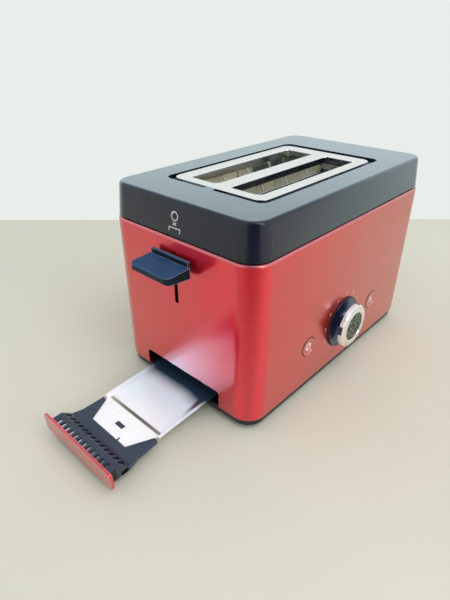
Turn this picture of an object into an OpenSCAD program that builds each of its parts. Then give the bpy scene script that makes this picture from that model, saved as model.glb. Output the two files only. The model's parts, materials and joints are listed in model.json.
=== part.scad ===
// Two-slot pop-up toaster with a pull-out crumb tray, a lift lever, a browning dial and two buttons.
// +Z is up, the long side runs along X, the dial is on the -Y side, the lever and the tray at -X.
// The origin is on the table, under the middle of the housing.

/* [Housing] */
// Length of the housing
body_l = 274; // [268:1:284]
// Width of the housing
body_w = 168; // [164:1:176]
// Corner radius of the housing, seen from above
body_r = 19; // [17:0.5:21]
// Thickness of the painted steel wall
shell_t = 1; // [0.8:0.1:1.2]
// Height of the lower edge of the housing
shell_z0 = 11.3; // [11:0.1:12]
// Height of the upper edge of the housing
shell_z1 = 158.7; // [157:0.1:160]
// Radius of the bends at both edges of the wall
shell_bend = 2; // [1.5:0.1:2.5]

/* [Top cover] */
// Height of the top of the cover
cover_z1 = 189.4; // [188:0.1:191]
// Draft of the cover's walls, in degrees
cover_draft = 5.5; // [3:0.5:6]
// Radius of the cover's upper edge
cover_edge = 3; // [2:0.5:3]
// Thickness of the cover
cover_t = 2.5; // [2:0.1:3]
// Height of the dark gap between the housing and the cover
cover_gap = 1.5; // [1:0.1:2]

/* [Slot frame] */
// Length of a bread slot
slot_l = 145; // [140:1:147]
// Width of a bread slot
slot_w = 32; // [28:1:33]
// Width of the bar between the slots
bar_w = 15; // [14:1:17]
// Length of the frame
frame_l = 169; // [167:1:170]
// Width of the frame
frame_w = 102; // [100:1:103]
// Depth of the flanges that line the slots
flange_d = 6.8; // [4:0.1:6.8]

/* [Lever] */
// Travel of the lever and the bread lifts
lift_travel = 36; // [30:1:36]
// Width of the lever's paddle
paddle_w = 46; // [40:1:50]
// Reach of the paddle from the housing
paddle_out = 28; // [22:1:30]

/* [Controls] */
// Height of the dial's axis
dial_z = 53.6; // [50:0.1:56]
// Distance of each button from the dial's axis
button_x = 57.6; // [50:0.1:62]
// Diameter of a button
button_d = 18.6; // [16:0.2:19]
// Travel of a button
button_travel = 1.2; // [0.8:0.1:1.2]

/* [Crumb tray] */
// Distance by which the tray stands pulled out
tray_pull = 112; // [0:1:112]
// Fall of the tray towards its opening, in degrees
tray_fall = 2.5; // [0:0.1:2.5]
// Width of the tray's front panel
tray_front_w = 94; // [90:1:94]
// Width of the pan
pan_w = 76; // [72:1:76]

/* [Heating] */
// Number of turns of ribbon on a heater board
turns = 11; // [6:1:11]
// Number of upright wires in a bread guard
guard_wires = 4; // [3:1:5]

/* [Hidden] */
$fn = 64;

eps = 0.01;

// Housing
centre_x = body_l / 2 - body_r;
centre_y = body_w / 2 - body_r;
wall_x = body_l / 2;
wall_y = body_w / 2;
lip_top = 7;
lip_bottom = 5;

// Base
base_z0 = 4.5;
base_z1 = shell_z0;
base_r = body_r - 2;
floor_t = 2.3;
rim_in = 11.8;
rim_out = 13.8;
rim_z = 19;
foot_d = 17;

// Top cover
cover_r = body_r - 1;
cover_l = body_l - 2;
cover_w = body_w - 2;
cover_z0 = shell_z1 + cover_gap;
ledge_z = cover_z1 - 4;
ledge_t = 2;
recess_x = -6.3;
recess_y = -1.4;
recess_l = 181.4;
recess_w = 110.4;

// Slots and frame
slot_x = -7;
slot_y = (bar_w + slot_w) / 2;
slot_r = 5;
frame_x = -6;
frame_z = cover_z1 - 0.6;
frame_t = 0.6;
frame_r = 9;
skirt_in = 4.5;

// Chassis
plate_t = 0.8;
span = 153;
plate_x0 = slot_x - span / 2;
plate_x1 = slot_x + span / 2;
plate_w = 112;
plate_z1 = ledge_z - ledge_t;
lip_z = 180;
reflector_y = 54;
reflector_t = 0.6;

// Heaters
board_y = 46;
board_t = 0.8;
board_z0 = 50;
board_z1 = 179;
ribbon_t = 0.25;
ribbon_h = 1.4;
ribbon_z0 = 62;
ribbon_pitch = 10;
notch_d = 1.5;

// Bread guards
guard_z0 = 46;
guard_z1 = 175;
guard_tip = [3.2, 5.7];
guard_outer_y = slot_y + slot_w / 2 - 3;
guard_inner_y = slot_y - slot_w / 2 + 3;
guard_rod_d = 2;
guard_wire_d = 1.6;
guard_shift = 1.6;

// Lift
rack_z1 = 96;
rack_h = 8;
rack_t = 2;
carriage_x = -100;
carriage_t = 1.6;
arm_z0 = 137;
arm_z1 = 145;
slit_w = 4.4;
slit_z0 = arm_z0 - lift_travel - 0.5;
slit_z1 = 147;
rod_x = -107;
rod_y = 18;
rod_d = 6;
shelf_z = 36;
bracket_z = 158;
peg_z = 156;
paddle_z1 = 141.2;
paddle_r = 5;

// Controls
bezel_r = 26;
bezel_t = 1.2;
shaft_d = 6;
knob_face = 13.8;
board_face = wall_y - 14;
bracket_y0 = wall_y - 4.5;
bracket_y1 = wall_y - 7;

// Crumb tray
tray_x = -wall_x + 1;
tray_z = 11.6;
pan_z = 2.2;
pan_t = 0.8;
pan_x0 = 51.5;
pan_x1 = 203;
open_w = tray_front_w + 1.2;
open_z = 29.1;

// Building blocks

module box(low, high) {
    translate(low)
        cube(high - low);
}

module along_x(x0, x1, y, z, d) {
    translate([x0, y, z])
        rotate([0, 90, 0])
            cylinder(h = x1 - x0, d = d);
}

module along_y(y0, y1, x, z, d) {
    translate([x, y0, z])
        rotate([-90, 0, 0])
            cylinder(h = y1 - y0, d = d);
}

module rounded(l, w, r) {
    square([l, w - 2 * r], center = true);
    square([l - 2 * r, w], center = true);
    for (sx = [-1, 1], sy = [-1, 1])
        translate([sx * (l / 2 - r), sy * (w / 2 - r)])
            circle(r);
}

module slab(l, w, r, z0, z1) {
    translate([0, 0, z0])
        linear_extrude(z1 - z0)
            rounded(l, w, r);
}

// Sweeps a profile round a rounded rectangle. The profile's x runs outwards from the corner's centre.
module swept(l, w, r) {
    for (a = [0, 90, 180, 270]) {
        sx = (a == 0 || a == 270) ? 1 : -1;
        sy = a < 180 ? 1 : -1;
        translate([sx * (l / 2 - r), sy * (w / 2 - r), 0])
            rotate(a)
                rotate_extrude(angle = 90)
                    children();
    }
    for (s = [-1, 1]) {
        translate([s * (l / 2 - r), 0, 0])
            rotate([90, 0, 90 - s * 90])
                linear_extrude(w - 2 * r, center = true)
                    children();
        translate([0, s * (w / 2 - r), 0])
            rotate([90, 0, s * 90])
                linear_extrude(l - 2 * r, center = true)
                    children();
    }
}

// Wall of bent sheet with its face at x = face and a lip turned in at each end
module channel_profile(face, z0, z1, t, bend, lip_low, lip_high) {
    depth = 2 * max(lip_low, lip_high);
    mid = (z0 + z1) / 2;
    intersection() {
        union() {
            translate([face - lip_low, z0])
                square([lip_low, mid - z0]);
            translate([face - lip_high, mid])
                square([lip_high, z1 - mid]);
        }
        translate([face - depth / 2, mid])
            difference() {
                rounded(depth, z1 - z0, bend);
                rounded(depth - 2 * t, z1 - z0 - 2 * t, bend - t);
            }
    }
}

// Housing and cover

module housing() {
    color("firebrick")
        difference() {
            swept(body_l, body_w, body_r)
                channel_profile(body_r, shell_z0, shell_z1, shell_t, shell_bend, lip_bottom, lip_top);
            box([-wall_x - 1, -slit_w / 2, slit_z0], [-wall_x + 3, slit_w / 2, slit_z1]);
            tray_opening();
            along_y(-wall_y - 1, -wall_y + 3, 0, dial_z, 24);
            for (s = [-1, 1])
                along_y(-wall_y - 1, -wall_y + 3, s * button_x, dial_z, button_d + 1);
            along_x(wall_x - 3, wall_x + 1, gland_y, gland_z, 12);
        }
}

module tray_opening() {
    r = 3.5;
    translate([-wall_x - 1, 0, 0])
        rotate([90, 0, 90])
            linear_extrude(8) {
                translate([-open_w / 2, 5])
                    square([open_w, open_z - r - 5]);
                translate([-open_w / 2 + r, 5])
                    square([open_w - 2 * r, open_z - 5]);
                for (s = [-1, 1])
                    translate([s * (open_w / 2 - r), open_z - r])
                        circle(r);
            }
}

module cover_profile() {
    rise = cover_z1 - cover_edge - cover_z0;
    xc = cover_r - (cover_edge + sin(cover_draft) * rise) / cos(cover_draft);
    tangent = [xc + cover_edge * cos(cover_draft), cover_z1 - cover_edge * (1 - sin(cover_draft))];
    inner_top = cover_r - cover_t - (cover_z1 - cover_t - cover_z0) * tan(cover_draft);
    polygon([
        [cover_r, cover_z0],
        tangent,
        [xc, cover_z1],
        [0, cover_z1],
        [0, cover_z1 - cover_t],
        [inner_top, cover_z1 - cover_t],
        [cover_r - cover_t, cover_z0]
    ]);
    translate([xc, cover_z1 - cover_edge])
        intersection() {
            circle(cover_edge);
            square(cover_edge);
        }
    // Neck that stands on the housing's lip, and the rib that locates it
    neck = cover_r - cover_t - 0.5;
    translate([10.2, shell_z1])
        square([neck - 10.2, 4]);
    translate([neck - 1, cover_z0])
        square([2, 2.5]);
    translate([10.2, shell_z1 - 4])
        square([1.6, 6]);
}

module top_cover() {
    color("dimgray")
        difference() {
            union() {
                swept(cover_l, cover_w, cover_r)
                    cover_profile();
                slab(2 * centre_x + 0.2, 2 * centre_y + 0.2, 0.1, cover_z1 - cover_t, cover_z1);
                translate([recess_x, recess_y, 0])
                    slab(recess_l + 4, recess_w + 4, 10, ledge_z - ledge_t, cover_z1 - 1);
            }
            translate([recess_x, recess_y, 0])
                slab(recess_l, recess_w, 8, ledge_z, cover_z1 + 1);
            translate([slot_x, 0, 0])
                slab(slot_l + 7, 2 * slot_y + slot_w + 7, 6, ledge_z - ledge_t - 1, cover_z1);
        }
    // Stop between the frame and the edge of the recess
    color("dimgray")
        box([recess_x - recess_l / 2 - 1, -2.5, ledge_z - 1],
            [frame_x - frame_l / 2 - 0.1, 7.5, cover_z1 - 0.8]);
}

// Frame round the slots: one sheet with both slots turned down, on a low skirt set in from its edge

module slot_edge_profile() {
    bend = 1.5;
    translate([slot_r + bend, frame_z - bend])
        intersection() {
            difference() {
                circle(bend);
                circle(bend - frame_t);
            }
            translate([-bend, 0])
                square(bend);
        }
    translate([slot_r, frame_z - flange_d])
        square([frame_t, flange_d - bend]);
}

module slot_frame() {
    color("silver") {
        difference() {
            translate([frame_x, 0, 0])
                slab(frame_l - frame_t, frame_w - frame_t, frame_r - frame_t / 2, frame_z - frame_t, frame_z);
            for (s = [-1, 1])
                translate([slot_x, s * slot_y, 0])
                    slab(slot_l + 3, slot_w + 3, slot_r + 1.5, frame_z - 2, frame_z + 1);
        }
        // Round edge of the sheet
        translate([frame_x, 0, 0])
            swept(frame_l, frame_w, frame_r)
                translate([frame_r - frame_t / 2, frame_z - frame_t / 2])
                    circle(frame_t / 2);
        translate([frame_x, 0, 0])
            swept(frame_l - 2 * skirt_in, frame_w - 2 * skirt_in, frame_r - skirt_in)
                translate([frame_r - skirt_in - frame_t, ledge_z])
                    square([frame_t, frame_z - frame_t / 2 - ledge_z]);
        for (s = [-1, 1])
            translate([slot_x, s * slot_y, 0])
                swept(slot_l, slot_w, slot_r)
                    slot_edge_profile();
    }
}

// Base

base_screw_xy = [[-96, -70], [-96, 70], [112, -52], [112, 52]];
board_post_xy = [[84, -44], [84, 44], [124, -44], [124, 44]];
board_post_z = 24;

module base_plate() {
    color([0.1, 0.1, 0.11])
        difference() {
            union() {
                base_body();
                tray_rails();
                for (p = base_screw_xy)
                    translate([p.x, p.y, base_z1 - 1])
                        cylinder(h = 9, d = 9);
                for (p = board_post_xy)
                    translate([p.x, p.y, base_z1 - 1])
                        cylinder(h = board_post_z - base_z1 + 1, d = 7);
            }
            base_holes();
        }
}

module base_body() {
    bend = 2;
    swept(body_l - 4, body_w - 4, base_r)
        difference() {
            union() {
                translate([base_r - 3, base_z0 + bend])
                    square([3, base_z1 - base_z0 - bend]);
                translate([base_r - bend, base_z0 + bend])
                    circle(bend);
                translate([base_r - 3, base_z0])
                    square([3 - bend, bend + 1]);
                translate([0, base_z1 - floor_t])
                    square([base_r - 2, floor_t]);
                translate([rim_in, base_z1 - 1])
                    square([rim_out - rim_in, rim_z - base_z1 + 1]);
            }
        }
    slab(2 * centre_x + 0.2, 2 * centre_y + 0.2, 0.1, base_z1 - floor_t, base_z1);
}

module base_holes() {
    // Gap in the rim for the tray
    box([-wall_x, -open_w / 2 - 1, base_z1], [-wall_x + 12, open_w / 2 + 1, rim_z + 1]);
    // Rows of air slots
    for (s = [-1, 1], i = [0:9])
        translate([-66 + i * 14, s * 62, 0])
            slab(6, 12, 2.9, base_z0, base_z1 + 1);
    for (i = [0:5])
        translate([96, -25 + i * 10, 0])
            slab(30, 4, 1.9, base_z0, base_z1 + 1);
    for (p = base_screw_xy) {
        translate([p.x, p.y, base_z0])
            cylinder(h = 20, d = 3.4);
        translate([p.x, p.y, base_z0])
            cylinder(h = 6, d = 7.6);
    }
    for (sx = [-1, 1], sy = [-1, 1])
        translate([sx * foot_x, sy * foot_y, base_z0])
            cylinder(h = 10, d = 6);
}

// Two rails that fall towards the opening and carry the pan
module tray_rails() {
    gap = 0.3;
    for (s = [-1, 1])
        translate([0, s * 31 + 1.5, 0])
            rotate([90, 0, 0])
                linear_extrude(3)
                    polygon([
                        [plate_x0 + 1, base_z1 - 1],
                        [plate_x1 - 1, base_z1 - 1],
                        [plate_x1 - 1, guide_z(plate_x1 - 1) - gap],
                        [plate_x0 + 1, guide_z(plate_x0 + 1) - gap]
                    ]);
}

// Height of the pan's underside over a point on the X axis
function guide_z(x) = tray_z + pan_z * cos(tray_fall) + (x - tray_x) * tan(tray_fall);

foot_x = centre_x - 1;
foot_y = centre_y - 1;

module feet() {
    color([0.08, 0.08, 0.08])
        for (sx = [-1, 1], sy = [-1, 1])
            translate([sx * foot_x, sy * foot_y, 0]) {
                rotate_extrude()
                    difference() {
                        union() {
                            square([foot_d / 2 - 1, base_z1 - floor_t]);
                            translate([0, 1])
                                square([foot_d / 2, base_z1 - floor_t - 1]);
                            translate([foot_d / 2 - 1, 1])
                                circle(1);
                        }
                        translate([-1, -1])
                            square([4, 2]);
                    }
                translate([0, 0, 2])
                    cylinder(h = base_z1 - 2.5, d = 5.9);
            }
}

module base_screws() {
    color("silver")
        for (p = base_screw_xy)
            translate([p.x, p.y, 0])
                difference() {
                    union() {
                        translate([0, 0, base_z0 + 4.2])
                            cylinder(h = 1.8, d = 7);
                        translate([0, 0, base_z0 + 4.2])
                            cylinder(h = 14, d = 3.3);
                    }
                    cross_recess(base_z0 + 4.2);
                }
}

module cross_recess(z) {
    for (a = [0, 90])
        rotate(a)
            translate([0, 0, z])
                cube([4, 0.9, 2], center = true);
}

// Chassis: two end plates, with the reflectors and the heater boards between them

module end_plate_body(x0) {
    difference() {
        box([x0, -plate_w / 2, base_z1], [x0 + plate_t, plate_w / 2, plate_z1]);
        // Lowered edge under the slots
        box([x0 - 1, -43, lip_z], [x0 + 2, 43, plate_z1 + 1]);
        for (s = [-1, 1]) {
            // Way for a lift rack
            box([x0 - 1, s * slot_y - 1.6, rack_z1 - rack_h - lift_travel - 2],
                [x0 + 2, s * slot_y + 1.6, rack_z1 + 2]);
            // Window beside the centre board
            box([x0 - 1, s * 6 - 5, 169], [x0 + 2, s * 6 + 5, 174]);
            // Pivots of the bread guards
            for (y = [guard_inner_y, guard_outer_y])
                along_x(x0 - 1, x0 + 2, s * y, guard_z0, guard_rod_d + 0.12);
            board_slits(x0, s * board_y);
            for (z = [80, 140])
                box([x0 - 1, s * reflector_y - 0.5, z], [x0 + 2, s * reflector_y + 0.5, z + 12]);
        }
        board_slits(x0, 0);
    }
}

module board_slits(x0, y) {
    for (z = board_tab_z)
        box([x0 - 1, y - board_t / 2 - 0.1, z - 0.1], [x0 + 2, y + board_t / 2 + 0.1, z + 10.1]);
}

board_tab_z = [66, 152];

// Feet and head of an end plate, folded away from the bread
module plate_flanges(x0, side) {
    a = side < 0 ? x0 - 8 : x0;
    b = side < 0 ? x0 + plate_t : x0 + plate_t + 8;
    difference() {
        for (z = [base_z1, plate_z1 - plate_t])
            for (s = [-1, 1])
                box([a, s * 48 - 8, z], [b, s * 48 + 8, z + plate_t]);
        for (s = [-1, 1])
            translate([(side < 0 ? x0 - 4 : x0 + plate_t + 4), s * 48, 0])
                cylinder(h = base_z1 + 5, d = 3.2);
    }
}

module front_end_plate() {
    x0 = plate_x0 - plate_t;
    color("gainsboro") {
        difference() {
            end_plate_body(x0);
            // Way for the pan
            box([x0 - 1, -pan_w / 2 - 1, guide_z(x0) - 0.4], [x0 + 2, pan_w / 2 + 1, guide_z(x0) + 6.5]);
        }
        plate_flanges(x0, -1);
        // Shelves that hold the guide rod and the magnet
        difference() {
            for (z = [shelf_z, bracket_z])
                box([rod_x - 6, rod_y - 8, z], [x0 + eps, rod_y + 8, z + 1.2]);
            translate([rod_x, rod_y, shelf_z - 1])
                cylinder(h = bracket_z, d = rod_d);
        }
        box([rod_x - 16, -rod_y - 11, shelf_z], [x0 + eps, -rod_y + 11, shelf_z + 1.2]);
        box([x0 - 8, rod_y - 0.6, bracket_z + 1.2 - eps], [x0 + eps, rod_y + 0.6, bracket_z + 9]);
        // Peg for the spring
        along_x(rod_x - 3, x0 + eps, -rod_y, peg_z, 2.2);
    }
}

module rear_end_plate() {
    color("gainsboro") {
        end_plate_body(plate_x1);
        plate_flanges(plate_x1, 1);
    }
}

module reflector(s) {
    color("gainsboro") {
        box([plate_x0, s * reflector_y - reflector_t / 2, base_z1],
            [plate_x1, s * reflector_y + reflector_t / 2, plate_z1]);
        fold_y = reflector_y - 10;
        difference() {
            union() {
                // Top edge folded in over the heater board
                box([13, min(s * fold_y, s * reflector_y), plate_z1 - reflector_t],
                    [62, max(s * fold_y, s * reflector_y), plate_z1]);
                translate([37.5, s * fold_y, 0])
                    rotate([90, 0, 0])
                        linear_extrude(reflector_t, center = true)
                            translate([0, plate_z1 - 8])
                                rounded(49, 16, 3);
            }
            box([15, s * fold_y - 1, plate_z1 - 12], [23, s * fold_y + 1, plate_z1 - 10.6]);
            box([38, s * fold_y - 1, plate_z1 - 14], [43, s * fold_y + 1, plate_z1 - 4]);
        }
        for (z = [80, 140])
            box([plate_x0 - plate_t - 1.5, s * reflector_y - reflector_t / 2, z + 0.5],
                [plate_x1 + plate_t + 1.5, s * reflector_y + reflector_t / 2, z + 11.5]);
        // Stiffening bead
        for (z = [50, 110, 165])
            along_x(plate_x0 + 12, plate_x1 - 12, s * (reflector_y + 0.6), z, 2.4);
    }
}

module reflector_left() {
    reflector(-1);
}

module reflector_right() {
    reflector(1);
}

module chassis_screws() {
    color("silver")
        for (s = [-1, 1], x = [plate_x0 - plate_t - 4, plate_x1 + plate_t + 4])
            translate([x, s * 48, 0])
                difference() {
                    union() {
                        translate([0, 0, base_z1 + plate_t])
                            cylinder(h = 1.8, d = 5.6);
                        translate([0, 0, base_z1])
                            cylinder(h = 2, d = 3);
                    }
                    cross_recess(base_z1 + plate_t + 2);
                }
}

module heater_board(y) {
    color("tan")
        translate([0, y, 0])
            difference() {
                union() {
                    box([plate_x0, -board_t / 2, board_z0], [plate_x1, board_t / 2, board_z1]);
                    for (z = board_tab_z)
                        box([plate_x0 - plate_t - 2, -board_t / 2, z],
                            [plate_x1 + plate_t + 2, board_t / 2, z + 10]);
                }
                for (i = [0:turns], x = [plate_x0 + 4, plate_x1 - 4])
                    translate([x, 0, ribbon_z0 + i * ribbon_pitch])
                        cube([2 * notch_d, 2, 2.4], center = true);
                for (z = [board_z1 - 7.3, board_z1 - 3.4])
                    box([-10.3, -1, z], [-7.7, 1, z + 2.4]);
            }
}

module heater_board_left() {
    heater_board(-board_y);
}

module heater_board_centre() {
    heater_board(0);
}

module heater_board_right() {
    heater_board(board_y);
}

// Flat ribbon wound round a board: level on one face and falling by a turn on the other
module winding(y) {
    x0 = plate_x0 + 4;
    x1 = plate_x1 - 4;
    color("lightslategray")
        translate([0, y, 0]) {
            for (i = [0:turns - 1]) {
                z = ribbon_z0 + i * ribbon_pitch;
                box([x0 - 0.4, -board_t / 2 - ribbon_t, z - ribbon_h / 2],
                    [x1 + 0.4, -board_t / 2, z + ribbon_h / 2]);
                translate([0, board_t / 2 + ribbon_t, 0])
                    rotate([90, 0, 0])
                        linear_extrude(ribbon_t)
                            polygon([
                                [x1 + 0.4, z - ribbon_h / 2],
                                [x1 + 0.4, z + ribbon_h / 2],
                                [x0 - 0.4, z + ribbon_pitch + ribbon_h / 2],
                                [x0 - 0.4, z + ribbon_pitch - ribbon_h / 2]
                            ]);
                ribbon_turn(x1, z);
                ribbon_turn(x0, z + ribbon_pitch);
            }
            z_end = ribbon_z0 + turns * ribbon_pitch;
            box([x0 - 0.4, -board_t / 2 - ribbon_t, z_end - ribbon_h / 2],
                [x0 + 20, -board_t / 2, z_end + ribbon_h / 2]);
        }
}

module ribbon_turn(x, z) {
    side = board_t / 2 + ribbon_t;
    box([x - 0.4, -side, z - ribbon_h / 2], [x + 0.4, side, z + ribbon_h / 2]);
}

module winding_left() {
    winding(-board_y);
}

module winding_centre() {
    winding(0);
}

module winding_right() {
    winding(board_y);
}

// Bread guard of welded wire. side is the direction from the guard to the bread along Y.
module bread_guard(y, side) {
    pitch = 138 / guard_wires;
    first = -70.5;
    flare = atan(guard_tip[0] / guard_tip[1]);
    wire_y = y - side * guard_shift;
    color("silver") {
        along_x(plate_x0 - plate_t - 2, plate_x1 + plate_t + 2, y, guard_z0, guard_rod_d);
        along_x(first - 6, first + 135, y, guard_z1, guard_rod_d);
        along_x(first - 6, first + 135, y, 115, guard_rod_d);
        for (i = [0:guard_wires - 1])
            translate([first + i * pitch, wire_y, 0]) {
                translate([0, 0, guard_z0])
                    cylinder(h = guard_z1 - guard_z0, d = guard_wire_d);
                // Tip that leans away from the bread
                translate([0, 0, guard_z1])
                    rotate([side * flare, 0, 0]) {
                        cylinder(h = norm(guard_tip), d = guard_wire_d);
                        for (z = [0, norm(guard_tip)])
                            translate([0, 0, z])
                                sphere(d = guard_wire_d + 0.1, $fn = 28);
                    }
            }
    }
}

module guard_left_outer() {
    bread_guard(-guard_outer_y, 1);
}

module guard_left_inner() {
    bread_guard(-guard_inner_y, -1);
}

module guard_right_inner() {
    bread_guard(guard_inner_y, 1);
}

module guard_right_outer() {
    bread_guard(guard_outer_y, -1);
}

// Lift: carriage on its rod, the racks under the bread and the lever

module carriage() {
    x0 = carriage_x;
    x1 = carriage_x + carriage_t;
    color("gainsboro")
        difference() {
            union() {
                box([x0, -32, rack_z1 - 14], [x1, 32, rack_z1 + 4]);
                box([x0, -9, rack_z1 + 3], [x1, 9, arm_z1]);
                // Arm through the slit
                box([-wall_x - 5, -1.25, arm_z0], [x1, 1.25, arm_z1]);
                // Sleeve on the guide rod
                box([rod_x, rod_y - 4.5, rack_z1 - 14], [x1, rod_y + 4.5, rack_z1 + 8]);
                translate([rod_x, rod_y, rack_z1 - 14])
                    cylinder(h = 22, d = 9);
                // Arm that carries the armature
                box([rod_x - 13, -rod_y - 5, rack_z1 - 2], [x1, -rod_y + 5, rack_z1 - 0.4]);
                // Peg for the spring
                along_x(rod_x - 3, x1, -rod_y, rack_z1 + 2.5, 2.2);
            }
            translate([rod_x, rod_y, rack_z1 - 15])
                cylinder(h = 24, d = rod_d + 0.12);
        }
}

module lift_rack(s) {
    color("silver") {
        box([carriage_x + carriage_t, s * slot_y - rack_t / 2, rack_z1 - rack_h],
            [plate_x1 + plate_t + 5, s * slot_y + rack_t / 2, rack_z1]);
        for (i = [0:5])
            along_y(s * slot_y - 9, s * slot_y + 9, -66 + i * 23.6, rack_z1 - 1, 2);
    }
}

module lift_rack_left() {
    lift_rack(-1);
}

module lift_rack_right() {
    lift_rack(1);
}

module lever_paddle() {
    out = -wall_x - paddle_out;
    back = -wall_x - 4.6;
    half = paddle_w / 2;
    color([0.07, 0.07, 0.09])
        difference() {
            union() {
                // Wedge that grows towards the housing
                intersection() {
                    translate([0, 0, paddle_z1 - 15])
                        linear_extrude(20) {
                            translate([(out + back) / 2, 0])
                                rounded(back - out, paddle_w, paddle_r);
                            translate([back - paddle_r, -half])
                                square([paddle_r, paddle_w]);
                        }
                    rotate([90, 0, 0])
                        linear_extrude(paddle_w + 2, center = true)
                            polygon([
                                [out - 1, paddle_z1 - 5.3],
                                [out, paddle_z1 - 5.3],
                                [out + 0.9, paddle_z1 - 6.1],
                                [back, paddle_z1 - 8],
                                [back, paddle_z1 + 1.1],
                                [out + 0.9, paddle_z1],
                                [out, paddle_z1 - 0.8],
                                [out - 1, paddle_z1 - 0.8]
                            ]);
                }
                // Upright plate behind the paddle
                box([back - 1, -half + 1.4, paddle_z1 - 7.6], [back + 1.4, half - 1.4, paddle_z1 + 5.8]);
            }
            box([back - 0.4, -1.35, arm_z0 - 0.1], [back + 2, 1.35, arm_z1 + 0.1]);
        }
}

module armature() {
    color("gray")
        box([rod_x - 12, -rod_y - 8, rack_z1 - 4.4], [rod_x + 5, -rod_y + 8, rack_z1 - 2]);
}

module guide_rod() {
    color("silver")
        translate([rod_x, rod_y, shelf_z - 2])
            cylinder(h = bracket_z + 1.2 - shelf_z + 4, d = rod_d);
}

// Closed-wound tension spring between the peg on the end plate and the peg on the carriage
module return_spring() {
    wire = 1;
    coil_r = 3.4;
    eye_r = 2.9;
    coils = 32;
    low = rack_z1 + 2.5 + 1.3;
    high = peg_z - 1.3;
    z0 = 112;
    z1 = z0 + coils * 0.9;
    color("gray")
        translate([rod_x, -rod_y, 0]) {
            rotate_extrude()
                for (i = [0:coils])
                    translate([coil_r, z0 + i * 0.9])
                        circle(d = wire);
            for (z = [low, high])
                translate([0, 0, z])
                    rotate([90, 0, 90])
                        rotate_extrude()
                            translate([eye_r, 0])
                                circle(d = wire);
            for (span = [[low + eye_r, z0], [z1, high - eye_r]]) {
                translate([0, 0, span[0]])
                    cylinder(h = span[1] - span[0], d = wire);
            }
            for (z = [z0, z1])
                along_y(-0.4, coil_r, 0, z, wire);
        }
}

module magnet_core() {
    z0 = shelf_z + 1.2;
    top = rack_z1 - 4.4 - lift_travel - 0.3;
    color("gray")
        difference() {
            box([rod_x - 12, -rod_y - 8, z0], [rod_x + 4, -rod_y + 8, top]);
            box([rod_x - 8, -rod_y - 9, z0 + 4], [rod_x, -rod_y + 9, top + 1]);
        }
}

module magnet_coil() {
    z0 = shelf_z + 1.2;
    color("chocolate")
        difference() {
            box([rod_x - 15, -rod_y - 10.5, z0 + 4], [rod_x - 5, -rod_y + 10.5, z0 + 15]);
            box([rod_x - 12.05, -rod_y - 8.05, z0], [rod_x - 7.95, -rod_y + 8.05, z0 + 20]);
        }
}

// Dial and buttons. Lengths along the dial's axis are measured outwards from the front wall.

module on_front(x) {
    translate([x, -wall_y, dial_z])
        rotate([90, 0, 0])
            children();
}

module dial_bezel() {
    color([0.05, 0.05, 0.06])
        on_front(0)
            rotate_extrude() {
                translate([9, 0])
                    square([bezel_r - 9.6, bezel_t]);
                translate([bezel_r - 0.6, bezel_t - 0.6])
                    circle(0.6);
                translate([9, -4.5])
                    square([2.9, 4.5 + bezel_t]);
            }
}

// Body of the knob: a thin rim that sweeps in to a waist behind the metal ring
module dial_body() {
    rim = bezel_t + 0.3;
    rim_t = 0.8;
    waist = 8.6;
    sweep = waist - rim - rim_t;
    color([0.05, 0.05, 0.06])
        on_front(0)
            rotate_extrude() {
                difference() {
                    translate([13, rim])
                        square([12.2, waist - rim]);
                    translate([16.6 + sweep, waist])
                        circle(sweep);
                    translate([16.6 + sweep, rim + rim_t])
                        square([10, 10]);
                }
                translate([0, 8])
                    square([14.1, 4.5]);
                translate([3, rim])
                    square([3, 8 - rim + 0.2]);
            }
}

module dial_ring() {
    color("silver")
        on_front(0)
            rotate_extrude()
                polygon([
                    [14.2, 8.6],
                    [21.6, 8.6],
                    [21.9, 8.9],
                    [21.5, 12],
                    [20.3, 13.1],
                    [14.6, knob_face],
                    [14.2, knob_face - 0.4]
                ]);
}

module dial_cap() {
    color([0.2, 0.22, 0.2])
        on_front(0)
            rotate_extrude() {
                translate([0, 12.5])
                    square([14.15, 0.7]);
                translate([0, 12.5])
                    square([13.6, 1]);
            }
}

module dial_shaft() {
    color("silver")
        on_front(0)
            translate([0, 0, -8])
                cylinder(h = 16, d = shaft_d);
}

module button(s) {
    r = button_d / 2;
    rim = 1.6;
    color("firebrick")
        on_front(s * button_x)
            rotate_extrude()
                difference() {
                    union() {
                        translate([0, -2])
                            square([r, 2]);
                        translate([0, -2])
                            square([r - 0.5, 2.5]);
                        translate([r - 0.5, 0])
                            intersection() {
                                circle(0.5);
                                square(0.5);
                            }
                        translate([0, -2.3])
                            square([r + 1.1, 1]);
                        translate([0, -7.3])
                            square([3, 5.5]);
                    }
                    // Dished face inside the rim
                    polygon([
                        [-1, 0],
                        [r - rim - 0.5, 0],
                        [r - rim, 0.5],
                        [r - rim, 1],
                        [-1, 1]
                    ]);
                }
}

module button_stop() {
    button(-1);
}

module button_defrost() {
    button(1);
}

module control_bracket() {
    color("whitesmoke")
        difference() {
            union() {
                box([-76, -bracket_y0, rim_z], [76, -bracket_y1, 84]);
                for (x = [-64, 64], z = [36, 72])
                    along_y(-bracket_y1, -board_face, x, z, 6);
            }
            along_y(-wall_y, -bracket_y1 + 1, 0, dial_z, 24.2);
            for (s = [-1, 1])
                along_y(-wall_y, -bracket_y1 + 1, s * button_x, dial_z, 6.2);
        }
}

module control_board() {
    color("darkgreen")
        box([-70, -board_face, 30], [70, -board_face + 1.6, 78]);
}

module potentiometer() {
    color("steelblue")
        difference() {
            union() {
                box([-8, -board_face - 6.5, dial_z - 8], [8, -board_face, dial_z + 8]);
                along_y(-wall_y - 1, -board_face - 6, 0, dial_z, 9);
            }
            along_y(-wall_y - 2, -board_face - 2, 0, dial_z, shaft_d + 0.12);
        }
}

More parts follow.
